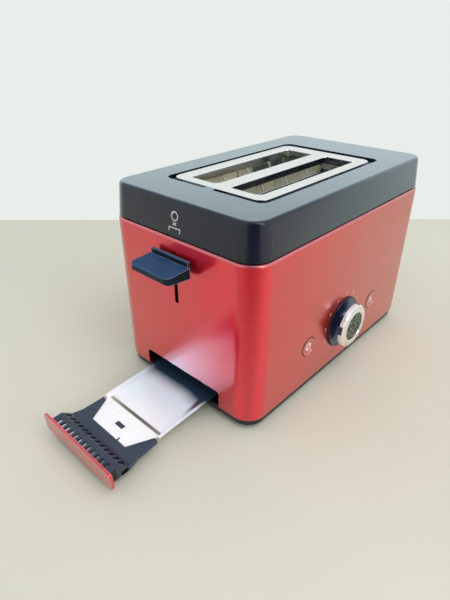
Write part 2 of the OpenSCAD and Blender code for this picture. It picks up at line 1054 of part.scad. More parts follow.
module key_switches() {
    color([0.1, 0.1, 0.1])
        for (s = [-1, 1]) {
            box([s * button_x - 3, -board_face - 4, dial_z - 3], [s * button_x + 3, -board_face, dial_z + 3]);
            along_y(-board_face - 5.2, -board_face - 3.9, s * button_x, dial_z, 3.4);
        }
}

// Power parts at the far end

gland_y = 44;
gland_z = 27;

module power_board() {
    color("darkgreen")
        box([80, -50, board_post_z], [128, 50, board_post_z + 1.6]);
}

module relay() {
    z = board_post_z + 1.6;
    color("royalblue")
        box([88, -34, z], [104, -5, z + 16]);
}

module terminal_block() {
    z = board_post_z + 1.6;
    color("forestgreen")
        difference() {
            box([100, 32, z], [112, 56 - 8, z + 12]);
            for (y = [36, 44])
                along_x(99, 108, y, z + 5, 3.4);
        }
}

module cord_gland() {
    color([0.1, 0.1, 0.1])
        translate([wall_x, gland_y, gland_z])
            rotate([0, 90, 0])
                rotate_extrude()
                    difference() {
                        union() {
                            translate([0, -5])
                                square([5.9, 8]);
                            square([8.5, 3]);
                            translate([0, -shell_t - 3])
                                square([8, 3]);
                        }
                        translate([-1, -6])
                            square([1 + 3.7, 12]);
                    }
}

// Crumb tray, drawn closed, then drawn out along its fall

module in_tray() {
    translate([tray_x, 0, tray_z])
        rotate([0, -tray_fall, 0])
            translate([-tray_pull, 0, 0])
                children();
}

module tray_pan() {
    rim_h = 3.2;
    flat = pan_w / 2 - 4;
    bend = pan_w / 2 - 1.8;
    half = pan_w / 2;
    color("silver")
        in_tray()
            difference() {
                union() {
                    translate([pan_x0, 0, pan_z])
                        rotate([90, 0, 90])
                            linear_extrude(pan_x1 - pan_x0)
                                polygon([
                                    [-half, rim_h],
                                    [-half, rim_h - pan_t],
                                    [-bend, rim_h - pan_t],
                                    [-flat, 0],
                                    [flat, 0],
                                    [bend, rim_h - pan_t],
                                    [half, rim_h - pan_t],
                                    [half, rim_h],
                                    [bend - 0.5, rim_h],
                                    [flat - 0.5, pan_t],
                                    [-flat + 0.5, pan_t],
                                    [-bend + 0.5, rim_h]
                                ]);
                    // Tab with its two beads
                    translate([0, 0, pan_z])
                        linear_extrude(pan_t)
                            polygon([
                                [28, -23.3],
                                [49.6, -flat],
                                [pan_x0 + 1, -flat],
                                [pan_x0 + 1, flat],
                                [49.6, flat],
                                [28, 23.3]
                            ]);
                    for (s = [-1, 1])
                        translate([0, s * 16.4, pan_z + pan_t])
                            rotate([0, 90, 0])
                                translate([0, 0, 29])
                                    cylinder(h = 23.5, d = 0.7);
                    // Upright back edge
                    box([pan_x1 - pan_t, -flat, pan_z], [pan_x1, flat, pan_z + rim_h]);
                }
                box([53.8, -flat + 0.3, pan_z - 1], [57, flat - 0.3, pan_z + 2]);
                box([37.7, -5.1, pan_z - 1], [42.1, 5.1, pan_z + 2]);
                box([27, -12.4, pan_z - 1], [31.4, -10.4, pan_z + 2]);
            }
}

handle_outline = [
    [0.8, 41], [19.5, 41], [29, 38.2], [49.4, 37.4],
    [49.4, 34.4], [27.7, 23.6], [27.7, -23.6], [49.4, -34.4],
    [49.4, -37.4], [29, -38.2], [19.5, -41], [0.8, -41]
];

module tray_handle() {
    ribs = 12;
    pitch = 6.1;
    first = -(ribs - 1) * pitch / 2;
    plate_z = 12;
    color([0.09, 0.1, 0.13])
        in_tray()
            difference() {
                union() {
                    translate([0, 0, 0.3])
                        linear_extrude(4.2)
                            polygon(handle_outline);
                    // Ledge under the pan's tab
                    translate([0, 0, 0.3])
                        linear_extrude(pan_z - 0.3)
                            polygon([[24, -22], [49, -33], [49, 33], [24, 22]]);
                    // Grip, and the comb that falls from it to the arms
                    translate([0, 41, 0])
                        rotate([90, 0, 0])
                            linear_extrude(82)
                                polygon([
                                    [0.8, 0.3],
                                    [0.8, plate_z],
                                    [11.2, plate_z],
                                    [11.6, plate_z - 0.4],
                                    [19.6, 4.5],
                                    [19.6, 0.3]
                                ]);
                }
                // Slots of the grip
                for (i = [0:ribs - 1])
                    translate([0, first + i * pitch, 0])
                        box([2.4, -1.7, 10.2], [7.1, 1.7, 20]);
                // Gaps of the comb
                for (i = [-1:ribs - 1])
                    translate([0, first + (i + 0.5) * pitch, 0])
                        box([12.2, -1.9, 1.3], [17, 1.9, 20]);
            }
}

module tray_front() {
    t = 2.4;
    color("firebrick")
        in_tray()
            translate([-1.6, 0, 8.45])
                rotate([90, 0, 90])
                    linear_extrude(t)
                        rounded(tray_front_w, 16.9, 3);
}

housing();
top_cover();
slot_frame();
base_plate();
feet();
base_screws();
front_end_plate();
rear_end_plate();
reflector_left();
reflector_right();
chassis_screws();
heater_board_left();
heater_board_centre();
heater_board_right();
winding_left();
winding_centre();
winding_right();
guard_left_outer();
guard_left_inner();
guard_right_inner();
guard_right_outer();
carriage();
lift_rack_left();
lift_rack_right();
lever_paddle();
armature();
guide_rod();
return_spring();
magnet_core();
magnet_coil();
dial_bezel();
dial_body();
dial_ring();
dial_cap();
dial_shaft();
button_stop();
button_defrost();
control_bracket();
control_board();
potentiometer();
key_switches();
power_board();
relay();
terminal_block();
cord_gland();
tray_pan();
tray_handle();
tray_front();
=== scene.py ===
"""Looks of the pop-up toaster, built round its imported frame."""

import json
import math

import bmesh
import bpy
from mathutils import Matrix, Vector


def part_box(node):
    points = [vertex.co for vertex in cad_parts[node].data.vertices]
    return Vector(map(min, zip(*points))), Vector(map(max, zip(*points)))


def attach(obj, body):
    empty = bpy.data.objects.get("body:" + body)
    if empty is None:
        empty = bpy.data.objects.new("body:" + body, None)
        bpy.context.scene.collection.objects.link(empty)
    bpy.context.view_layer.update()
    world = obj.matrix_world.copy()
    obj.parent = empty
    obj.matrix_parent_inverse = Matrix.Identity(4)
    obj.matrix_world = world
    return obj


MM = 0.001

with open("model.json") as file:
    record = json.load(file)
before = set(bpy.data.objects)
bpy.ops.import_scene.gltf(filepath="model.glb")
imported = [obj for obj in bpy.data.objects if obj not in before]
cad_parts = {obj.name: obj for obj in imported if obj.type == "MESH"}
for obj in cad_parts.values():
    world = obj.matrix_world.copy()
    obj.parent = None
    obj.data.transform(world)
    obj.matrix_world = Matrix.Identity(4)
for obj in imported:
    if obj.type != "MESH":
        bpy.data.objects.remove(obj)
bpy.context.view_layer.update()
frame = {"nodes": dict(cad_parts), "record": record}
nodes = frame["nodes"]


def middle(box):
    """Middle of a box, in millimetres."""
    low, high = box
    return (low + high) / 2 / MM


# Places at rest, in millimetres. The other button mirrors this one, and the dial's axis is level with both
button_at = middle(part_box("button_defrost"))
dial_z = button_at.z
housing_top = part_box("housing")[1].z / MM
frame_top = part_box("slot_frame")[1].z / MM

# The tray's own origin when it is shut, and its fall towards the opening
tray_x, tray_z = -136.0, 11.6
tray_fall = math.radians(2.5)


# ---------------------------------------------------------------- node helpers


class Graph:
    """A material's node tree, with short calls for the nodes that the finishes share."""

    def __init__(self, name):
        self.material = bpy.data.materials.new(name)
        self.material.use_nodes = True
        self.tree = self.material.node_tree
        self.tree.nodes.clear()
        self.output = self.tree.nodes.new("ShaderNodeOutputMaterial")

    def add(self, kind, **values):
        node = self.tree.nodes.new("ShaderNode" + kind)
        for key, value in values.items():
            if key in node.inputs:
                self.put(node.inputs[key], value)
            elif hasattr(node, key):
                setattr(node, key, value)
            else:
                self.put(node.inputs[key.replace("_", " ")], value)
        return node

    def put(self, socket, value):
        if isinstance(value, bpy.types.NodeSocket):
            self.tree.links.new(value, socket)
        elif isinstance(value, tuple) and len(value) == 3 and socket.type == "RGBA":
            socket.default_value = (*value, 1)
        else:
            socket.default_value = value

    def position(self):
        """Position on the piece, which stays with the piece when it moves."""
        return self.add("TexCoord").outputs["Object"]

    def stretched(self, scale):
        """Position in millimetres, stretched along the axes."""
        mapping = self.add("Mapping", Vector=self.position())
        mapping.inputs["Scale"].default_value = [s / MM for s in scale]
        return mapping.outputs["Vector"]

    def axis(self, name):
        """One coordinate on the piece, in millimetres at rest."""
        parts = self.add("SeparateXYZ", Vector=self.stretched((1, 1, 1)))
        return parts.outputs[name]

    def noise(self, scale, detail, vector=None):
        node = self.add("TexNoise", Scale=scale, Detail=detail)
        self.put(node.inputs["Vector"], vector or self.stretched((1, 1, 1)))
        return node.outputs["Fac"]

    def ramp(self, value, low, high, out_low=0.0, out_high=1.0):
        node = self.add("MapRange", Value=value)
        for socket, number in zip(node.inputs[1:5], (low, high, out_low, out_high)):
            socket.default_value = number
        return node.outputs["Result"]

    def spread(self, noise, low=0.0, high=1.0):
        """A noise, stretched to run from one value to another."""
        return self.ramp(noise, 0.3, 0.7, low, high)

    def cloud(self, scale=0.05, detail=3, low=0.0, high=1.0):
        """Soft patches that run from one value to another."""
        return self.spread(self.noise(scale, detail), low, high)

    def tone(self, scale=0.03):
        """Firmer patches, for a plastic's change of tone."""
        return self.ramp(self.noise(scale, 3), 0.35, 0.65)

    def math(self, operation, a, b=0.0):
        node = self.add("Math", operation=operation)
        self.put(node.inputs[0], a)
        self.put(node.inputs[1], b)
        return node.outputs[0]

    def times(self, a, b):
        return self.math("MULTIPLY", a, b)

    def distance(self, value, middle):
        """How far a value is from the middle, on either side."""
        return self.math("ABSOLUTE", self.math("SUBTRACT", value, middle))

    def within(self, value, middle, reach):
        """1 where a value is nearer to the middle than the reach, 0 elsewhere."""
        return self.math("LESS_THAN", self.distance(value, middle), reach)

    def radius(self, a, b):
        return self.math("SQRT", self.math("ADD", self.math("POWER", a, 2.0), self.math("POWER", b, 2.0)))

    def mix(self, fac, a, b):
        node = self.add("Mix", data_type="RGBA")
        self.put(node.inputs[0], fac)
        self.put(node.inputs[6], a)
        self.put(node.inputs[7], b)
        return node.outputs[2]

    def bump(self, height, depth):
        """Relief of a given depth in millimetres."""
        return self.add("Bump", Height=height, Distance=depth * MM, Strength=1.0).outputs["Normal"]

    def edge(self, radius):
        """1 along the edges of the piece, 0 on its faces."""
        rounded = self.add("Bevel", samples=6, Radius=radius * MM)
        facing = self.add("VectorMath", operation="DOT_PRODUCT")
        self.put(facing.inputs[0], rounded.outputs[0])
        self.put(facing.inputs[1], self.add("NewGeometry").outputs["True Normal"])
        return self.ramp(facing.outputs["Value"], 0.80, 0.97, 1.0, 0.0)

    def facing(self):
        """0 where the surface looks at the viewer, 1 where it is seen along itself."""
        return self.add("LayerWeight", Blend=0.5).outputs["Facing"]

    def upward(self, low, high):
        """1 on the faces that look up, 0 on upright ones."""
        parts = self.add("SeparateXYZ", Vector=self.add("NewGeometry").outputs["Normal"])
        return self.ramp(parts.outputs["Z"], low, high)

    def close(self, shader):
        self.tree.links.new(shader.outputs[0], self.output.inputs["Surface"])
        return self.material

    def finish(self, **values):
        return self.close(self.add("BsdfPrincipled", **values))


def shade(color, factor):
    return tuple(min(1.0, c * factor) for c in color)


def plastic(name, color, rough, grain=0.5, depth=0.02, change=0.06, **extra):
    """Moulded plastic: fine grain, slight change of tone, rubbed patches."""
    g = Graph(name)
    rubbed = 0.05
    return g.finish(
        Base_Color=g.mix(g.tone(), shade(color, 1 - change), shade(color, 1 + change)),
        Roughness=g.cloud(0.08, 4, rough - rubbed, rough + rubbed),
        Normal=g.bump(g.noise(1 / grain, 3), depth),
        **extra,
    )


def sheet_metal(name, color, rough, along=(1, 1, 1)):
    """Rolled or drawn metal: blotches, and streaks along the axis whose scale is small."""
    g = Graph(name)
    change = 0.08
    streaked = 0.07
    streak = g.noise(0.25, 4, g.stretched(along))
    return g.finish(
        Base_Color=g.mix(g.cloud(), shade(color, 1 - change), shade(color, 1 + change)),
        Metallic=1.0,
        Roughness=g.spread(streak, rough - streaked, rough + streaked),
        Normal=g.bump(streak, 0.004),
    )


# ------------------------------------------------------------------- materials


def red_paint(name, edges, coat_ior):
    """Clear red paint over metal that is brushed round the body, so reflections stretch upwards."""
    g = Graph(name)
    brushed = g.noise(1.2, 3, g.stretched((0.03, 0.03, 1)))
    base = g.mix(g.cloud(0.02), (0.72, 0.008, 0.022), (0.77, 0.011, 0.026))
    base = g.mix(g.spread(brushed), base, (0.80, 0.016, 0.032))
    # Painted reflection: warmer where it is seen along the surface, for the pale floor it mirrors, and
    # purer red in a band of angles before that, for a dark reflection
    grazing_painted_reflection = g.ramp(g.facing(), 0.48, 0.70)
    base = g.mix(grazing_painted_reflection, base, (0.60, 0.070, 0.032))
    painted_dark_reflection = g.ramp(g.distance(g.facing(), 0.36), 0.03, 0.10, 1.0, 0.0)
    base = g.mix(painted_dark_reflection, base, (0.92, 0.002, 0.030))
    return g.finish(
        Base_Color=edges(g, base),
        Metallic=0.8,
        Roughness=g.cloud(0.06, 4, 0.34, 0.38),
        Anisotropic=0.7,
        Anisotropic_Rotation=0.25,
        Tangent=g.add("Tangent", direction_type="RADIAL", axis="Z").outputs[0],
        Coat_Weight=g.ramp(g.facing(), 0.12, 0.30, 0.3, 1.0),
        Coat_IOR=coat_ior,
        Coat_Roughness=0.17,
    )


def body_edges(g, base):
    """A painted highlight, pale pink, along the bend under the cover."""
    bend_painted_highlight = g.ramp(g.axis("Z"), housing_top - 2.3, housing_top - 0.7, 0.0, 0.5)
    return g.mix(bend_painted_highlight, base, (0.70, 0.38, 0.42))


def button_edges(g, base):
    """Painted light: a pale painted highlight along the edges, and on each button a dark line of painted
    shade at its gap with a pale painted highlight ring inside it.
    """
    across = g.math("SUBTRACT", g.math("ABSOLUTE", g.axis("X")), button_at.x)
    above = g.math("SUBTRACT", g.axis("Z"), button_at.z)
    radius = g.radius(across, above)
    highlight_ring_radius, half_highlight_ring = 7.7, 0.35
    shade_line_radius, half_shade_line = 9.2, 0.5
    # Painted highlight along the edges
    base = g.mix(g.times(g.edge(1.0), 0.6), base, (0.75, 0.40, 0.50))
    # Painted highlight on each button's raised ring, and painted shade in the gap round its rim
    base = g.mix(g.within(radius, highlight_ring_radius, half_highlight_ring), base, (0.72, 0.30, 0.34))
    return g.mix(g.within(radius, shade_line_radius, half_shade_line), base, (0.04, 0.004, 0.008))


def frame_steel():
    """Bright pressed steel, with polished flanges that turn down into the slots, coloured with a painted
    reflection.
    """
    g = Graph("frame_steel")
    streak = g.noise(0.25, 4, g.stretched((0.05, 1, 1)))
    flange = g.ramp(g.axis("Z"), frame_top - 1.4, frame_top - 0.7, 1.0, 0.0)
    far = g.ramp(g.axis("Y"), -1.0, 1.0)
    top = g.mix(g.cloud(), (0.94, 0.96, 0.96), (0.98, 1.0, 1.0))
    # Painted reflection on the flanges: dark in the near slot, pale in the far one
    turned = g.mix(far, (0.16, 0.18, 0.25), (0.80, 0.80, 0.80))
    return g.finish(
        Base_Color=g.mix(flange, top, turned),
        Metallic=1.0,
        Roughness=g.math("SUBTRACT", g.spread(streak, 0.2, 0.3), g.times(flange, 0.1)),
        Normal=g.bump(streak, 0.002),
    )


def pan_steel():
    """Bright sheet, with painted shade and a painted bluish reflection towards the end that stays under
    the heaters, by the housing's opening.
    """
    g = Graph("pan_steel")
    streak = g.noise(0.25, 4, g.stretched((1, 0.03, 1)))
    # The painted shade's edge waves, and reaches further out beside the pan's near rim
    wave_height, most_further = 10.0, 12.0
    near_rim = -32.5
    wave = g.times(g.noise(0.03, 2), wave_height)
    further = g.ramp(g.distance(g.axis("Y"), near_rim), 0.5, 4.0, most_further, 0.0)
    along = g.math("ADD", g.math("ADD", g.axis("X"), wave), further)
    # A painted bluish reflection leads up to the painted shade
    blue_from, blue_to = -190.0, -155.0
    dark_from, dark_to = -151.0, -135.0
    opening_painted_shade = g.math("POWER", g.ramp(along, dark_from, dark_to), 1.4)
    bright = g.mix(g.cloud(), (0.95, 0.97, 0.98), (1.0, 1.0, 1.0))
    bright = g.mix(g.ramp(along, blue_from, blue_to), bright, (0.74, 0.90, 1.0))
    return g.finish(
        Base_Color=g.mix(opening_painted_shade, bright, (0.016, 0.035, 0.07)),
        Metallic=0.06,
        Roughness=g.spread(streak, 0.32, 0.42),
        Normal=g.bump(streak, 0.001),
        Coat_Weight=1.0,
        Coat_IOR=2.1,
        Coat_Roughness=0.2,
    )


def cover_plastic():
    """Moulded plastic with a satin skin, and a painted sheen: paler where it is seen at a low angle, less
    so on upright walls.
    """
    g = Graph("cover_plastic")
    walls_sheen_share = 0.42
    # Painted sheen; the upright walls take only a share of it
    share = g.ramp(g.upward(0.15, 0.5), 0.0, 1.0, walls_sheen_share, 1.0)
    grazing_painted_reflection = g.times(g.ramp(g.facing(), 0.42, 0.85), share)
    dark = g.mix(g.tone(), (0.005, 0.006, 0.016), (0.006, 0.007, 0.019))
    return g.finish(
        Base_Color=g.mix(grazing_painted_reflection, dark, (0.24, 0.345, 0.40)),
        Roughness=g.cloud(0.08, 4, 0.26, 0.28),
        Normal=g.bump(g.noise(0.9, 2), 0.001),
        IOR=1.33,
        Specular_Tint=(0.75, 0.88, 1.0),
        Coat_Weight=1.0,
        Coat_IOR=1.38,
        Coat_Roughness=0.27,
        Coat_Tint=(0.95, 0.99, 1.0),
    )


def dial_metal():
    """Bright turned metal; the darker streaks across the rim are a painted reflection."""
    g = Graph("dial_metal")
    rim_from = 21.3
    above = g.math("SUBTRACT", g.axis("Z"), dial_z)
    turn = g.math("ARCTAN2", above, g.times(g.axis("X"), -1.0))
    rim = g.math("GREATER_THAN", g.radius(g.axis("X"), above), rim_from)
    # Painted reflection: dark segments round the rim
    waves = g.math("SINE", g.math("ADD", g.times(turn, 3.0), 1.0))
    ripple = g.times(g.math("SINE", g.times(turn, 11.0)), 0.4)
    dark = g.times(g.ramp(g.math("ADD", waves, ripple), 0.45, 0.75), rim)
    return g.finish(
        Base_Color=g.mix(dark, (0.97, 0.97, 0.96), (0.05, 0.045, 0.06)),
        Metallic=g.math("SUBTRACT", 1.0, g.times(rim, 0.55)),
        Roughness=g.cloud(0.1, 3, 0.12, 0.18),
        Normal=g.bump(g.noise(0.5, 2), 0.001),
    )


def cap_plastic():
    """Dark plastic with coarse pale specks."""
    g = Graph("cap_plastic")
    speck = g.ramp(g.noise(0.45, 1), 0.50, 0.60)
    return g.finish(
        Base_Color=g.mix(speck, (0.006, 0.012, 0.008), (0.20, 0.25, 0.17)),
        Roughness=g.cloud(0.08, 4, 0.30, 0.40),
        Normal=g.bump(g.noise(1.6, 3), 0.02),
        IOR=1.3,
    )


def paddle_plastic():
    """Satin blue-black plastic, with painted sheen on its upward faces and a painted highlight along its
    edges.
    """
    g = Graph("paddle_plastic")
    # Painted sheen: the upward faces are a lighter blue than the dark sides
    top = g.mix(g.tone(0.05), (0.024, 0.070, 0.155), (0.030, 0.082, 0.172))
    base = g.mix(g.upward(0.4, 0.8), (0.010, 0.016, 0.026), top)
    # Painted highlight: pale along the edges
    return g.finish(
        Base_Color=g.mix(g.times(g.edge(1.4), 0.7), base, (0.30, 0.38, 0.48)),
        Roughness=g.cloud(0.08, 4, 0.32, 0.38),
        Normal=g.bump(g.noise(1.4, 3), 0.004),
        IOR=1.3,
        Specular_Tint=(0.2, 0.7, 1.0),
    )


def handle_plastic():
    """Satin black plastic, with painted reflections on the floors of the grip slots, painted shade in the
    slots and the comb, and painted highlights on its edges.
    """
    g = Graph("handle_plastic")
    slot_floor = 10.2
    grip_to = -240.8
    comb_x, comb_reach = -233.5, 3.2
    # Height over the tray's sloping underside
    level = g.times(g.math("SUBTRACT", g.axis("Z"), tray_z), math.cos(tray_fall))
    slope = g.times(g.math("SUBTRACT", g.axis("X"), tray_x), math.sin(tray_fall))
    level = g.math("SUBTRACT", level, slope)
    grip = g.math("LESS_THAN", g.axis("X"), grip_to)
    slot_floor_painted_reflection = g.times(g.within(level, slot_floor, 0.15), grip)
    # The painted reflections on the slot floors are brighter towards the far side
    near_side, far_side = -38.0, 34.0
    bright = g.mix(g.ramp(g.axis("Y"), near_side, far_side), (0.06, 0.07, 0.08), (1.0, 1.0, 1.0))
    # Painted shade: dark walls in the slots, and dark gaps in the comb
    wall = g.times(grip, g.ramp(g.upward(0.3, 0.6), 0.0, 1.0, 1.0, 0.0))
    comb = g.times(g.within(g.axis("X"), comb_x, comb_reach), g.ramp(level, 3.0, 6.0, 1.0, 0.0))
    base = g.mix(g.tone(), (0.034, 0.046, 0.074), (0.042, 0.054, 0.084))
    base = g.mix(g.math("MAXIMUM", comb, wall), base, (0.004, 0.004, 0.005))
    # Painted highlight along the edges
    base = g.mix(g.times(g.edge(0.35), 0.35), base, (0.16, 0.19, 0.24))
    return g.finish(
        Base_Color=g.mix(slot_floor_painted_reflection, base, bright),
        Specular_IOR_Level=g.ramp(comb, 0.0, 1.0, 0.5, 0.0),
        Roughness=g.cloud(0.08, 4, 0.27, 0.31),
        Normal=g.bump(g.noise(1.1, 3), 0.01),
        Specular_Tint=(0.7, 0.85, 1.0),
    )


finishes = {
    "red_paint": red_paint("red_paint", body_edges, 1.72),
    "red_paint_button": red_paint("red_paint_button", button_edges, 2.0),
    "cover_plastic": cover_plastic(),
    "chrome_sheet": frame_steel(),
    "black_plastic": plastic("black_plastic", (0.012, 0.013, 0.016), 0.45, grain=0.8),
    "foot_rubber": plastic("foot_rubber", (0.014, 0.014, 0.014), 0.8, grain=0.4),
    "zinc_steel": sheet_metal("zinc_steel", (0.6, 0.61, 0.63), 0.3),
    "inner_steel": sheet_metal("inner_steel", (0.55, 0.62, 0.66), 0.28, (0.05, 1, 1)),
    "mica": plastic("mica", (0.80, 0.76, 0.55), 0.5, grain=1.5, depth=0.03, change=0.15),
    "heating_ribbon": sheet_metal("heating_ribbon", (0.34, 0.30, 0.26), 0.35, (0.02, 1, 1)),
    "guard_wire": sheet_metal("guard_wire", (0.5, 0.51, 0.53), 0.25),
    "black_gloss": plastic(
        "black_gloss", (0.007, 0.012, 0.034), 0.18, depth=0.002, IOR=2.2, Specular_Tint=(0.42, 0.66, 1.0)
    ),
    "paddle_plastic": paddle_plastic(),
    "magnet_steel": sheet_metal("magnet_steel", (0.3, 0.3, 0.32), 0.4),
    "spring_steel": sheet_metal("spring_steel", (0.5, 0.5, 0.52), 0.25),
    "coil_copper": sheet_metal("coil_copper", (0.55, 0.24, 0.1), 0.3, (1, 1, 0.1)),
    "dial_metal": dial_metal(),
    "cap_plastic": cap_plastic(),
    "pale_plastic": plastic("pale_plastic", (0.6, 0.6, 0.57), 0.5),
    "circuit_board": plastic("circuit_board", (0.02, 0.12, 0.05), 0.35),
    "blue_plastic": plastic("blue_plastic", (0.02, 0.06, 0.2), 0.35),
    "tray_metal": pan_steel(),
    "handle_plastic": handle_plastic(),
}

slot_of = {s["node"]: s["material_slot"] for s in frame["record"]["subparts"]}
slot_of["lever_paddle"] = "paddle_plastic"
for node, obj in nodes.items():
    obj.data.materials.clear()
    obj.data.materials.append(finishes[slot_of[node]])


# ----------------------------------------------------- camera, light and stage

camera_data = bpy.data.cameras.new("camera")
camera_data.lens = 27.77
camera_data.sensor_width = 36
camera = bpy.data.objects.new("camera", camera_data)
bpy.context.scene.collection.objects.link(camera)
camera_at = Vector((-0.3559, -0.2590, 0.3009))
camera_to = Vector((-0.04676, 0.02845, 0.05289))
camera_roll = math.radians(-0.1)
camera.location = camera_at
camera.rotation_euler = (
    (camera_to - camera_at).to_track_quat("-Z", "Y").to_matrix()
    @ Matrix.Rotation(camera_roll, 3, "Z")
).to_euler()
bpy.context.scene.camera = camera


def area_light(name, at, size, power):
    """A soft lamp that looks at the middle of the toaster."""
    toaster_middle = Vector((0, 0, 0.1))
    data = bpy.data.lights.new(name, "AREA")
    data.shape = "RECTANGLE"
    data.size, data.size_y = size
    data.energy = power
    obj = bpy.data.objects.new(name, data)
    obj.location = at
    obj.rotation_euler = (toaster_middle - Vector(at)).to_track_quat("-Z", "Y").to_euler()
    bpy.context.scene.collection.objects.link(obj)


area_light("key", (-0.2, -0.9, 1.6), (1.0, 0.8), 6.5)
area_light("side", (-0.1, -1.6, 0.8), (0.4, 0.4), 3.3)


def plain(name, color):
    """Plain paint for the stage."""
    g = Graph(name)
    return g.finish(
        Base_Color=g.mix(g.cloud(0.004, 2), shade(color, 0.98), shade(color, 1.02)),
        Roughness=0.8,
        Specular_IOR_Level=0.2,
    )


def backdrop(name, seen, color):
    """A wall that the camera and the polished parts see in even light, and the rest as plain paint."""
    g = Graph(name)
    rays = g.add("LightPath").outputs
    paint = g.add("BsdfDiffuse", Color=color)
    even = g.add("Emission", Color=seen)
    blend = g.add("MixShader", Fac=g.math("MAXIMUM", rays["Is Camera Ray"], rays["Is Glossy Ray"]))
    g.put(blend.inputs[1], paint.outputs[0])
    g.put(blend.inputs[2], even.outputs[0])
    return g.close(blend)


def stage_sheet(name, corners, material):
    """A flat sheet of the stage, between four corners."""
    mesh = bpy.data.meshes.new(name)
    mesh.from_pydata(corners, [], [(0, 1, 2, 3)])
    obj = bpy.data.objects.new(name, mesh)
    obj.data.materials.append(material)
    bpy.context.scene.collection.objects.link(obj)
    return obj


def mirrored_only(obj):
    """Show a sheet of the stage to glossy surfaces alone."""
    obj.visible_camera = False
    obj.visible_diffuse = False
    obj.visible_shadow = False


# Half the floor's width, and the far wall's distance from the camera, in metres
reach = 6
corner_signs = ((-1, -1), (1, -1), (1, 1), (-1, 1))

# Directions from the camera, level with the floor
upright = Vector((0, 0, 1))
ahead = camera_to - camera_at
ahead.z = 0
ahead.normalize()
aside = ahead.cross(upright)


def facing_camera(name, near, far, half_width, low, high, material, shift=0.0):
    """A sheet from one height and distance from the camera to another."""
    line = Vector((camera_at.x, camera_at.y, 0)) + aside * shift
    corners = []
    for side, end in corner_signs:
        away, height = (near, low) if end < 0 else (far, high)
        corners.append(line + aside * side * half_width + ahead * away + upright * height)
    return stage_sheet(name, corners, material)


def floor_and_backdrop():
    """A floor, and over it a plain backdrop that begins behind the toaster, square to the camera."""
    backdrop_from = 0.80
    over_floor = 0.1 * MM
    wall = backdrop("wall", (0.815, 0.855, 0.825), (0.85, 0.88, 0.86))
    corners = [(a * reach, b * reach, 0) for a, b in corner_signs]
    stage_sheet("floor", corners, plain("floor", (0.72, 0.71, 0.59)))
    facing_camera("backdrop_floor", backdrop_from, reach, reach, over_floor, over_floor, wall)
    facing_camera("backdrop_wall", reach, reach, reach, 0, reach, wall)


def dark_card():
    """A dark card behind the camera, which darkens what the paint mirrors."""
    behind = -0.15
    half_width, height = 0.27, 1.6
    paint = plain("card", (0.03, 0.03, 0.035))
    card = facing_camera("card", behind, behind, half_width, 0, height, paint, shift=0.03)
    mirrored_only(card)


def bright_window():
    """A distant bright window, mirrored in the tray's pan and from there in the paint above it."""
    g = Graph("window")
    glow = g.close(g.add("Emission", Color=(0.18, 0.78, 1.0), Strength=95.0))
    half_size = 0.13
    pan_at = Vector((-0.16, 0, 0.03))
    away = Vector((-0.765, 1.054, 1.02))
    level = away.cross(upright).normalized()
    raised = level.cross(away.normalized())
    corners = [pan_at + away + (level * a + raised * b) * half_size for a, b in corner_signs]
    window = stage_sheet("window", corners, glow)
    mirrored_only(window)
    mirrored_in = bpy.data.collections.new("mirrored_in")
    mirrored_in.objects.link(nodes["tray_pan"])
    window.light_linking.receiver_collection = mirrored_in


def even_light():
    """Pale light from all round."""
    world = bpy.data.worlds.new("world")
    bpy.context.scene.world = world
    world.use_nodes = True
    background = world.node_tree.nodes["Background"]
    background.inputs["Color"].default_value = (0.93, 0.96, 1.0, 1)
    background.inputs["Strength"].default_value = 0.88


floor_and_backdrop()
dark_card()
bright_window()
even_light()
bpy.context.scene.view_settings.view_transform = "Standard"


# --------------------------------------------------------------- printed marks


def link(name, mesh, material, body):
    """Put a mark's mesh in the scene, on the body that carries it."""
    obj = bpy.data.objects.new(name, mesh)
    bpy.context.scene.collection.objects.link(obj)
    obj.data.materials.append(material)
    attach(obj, body)


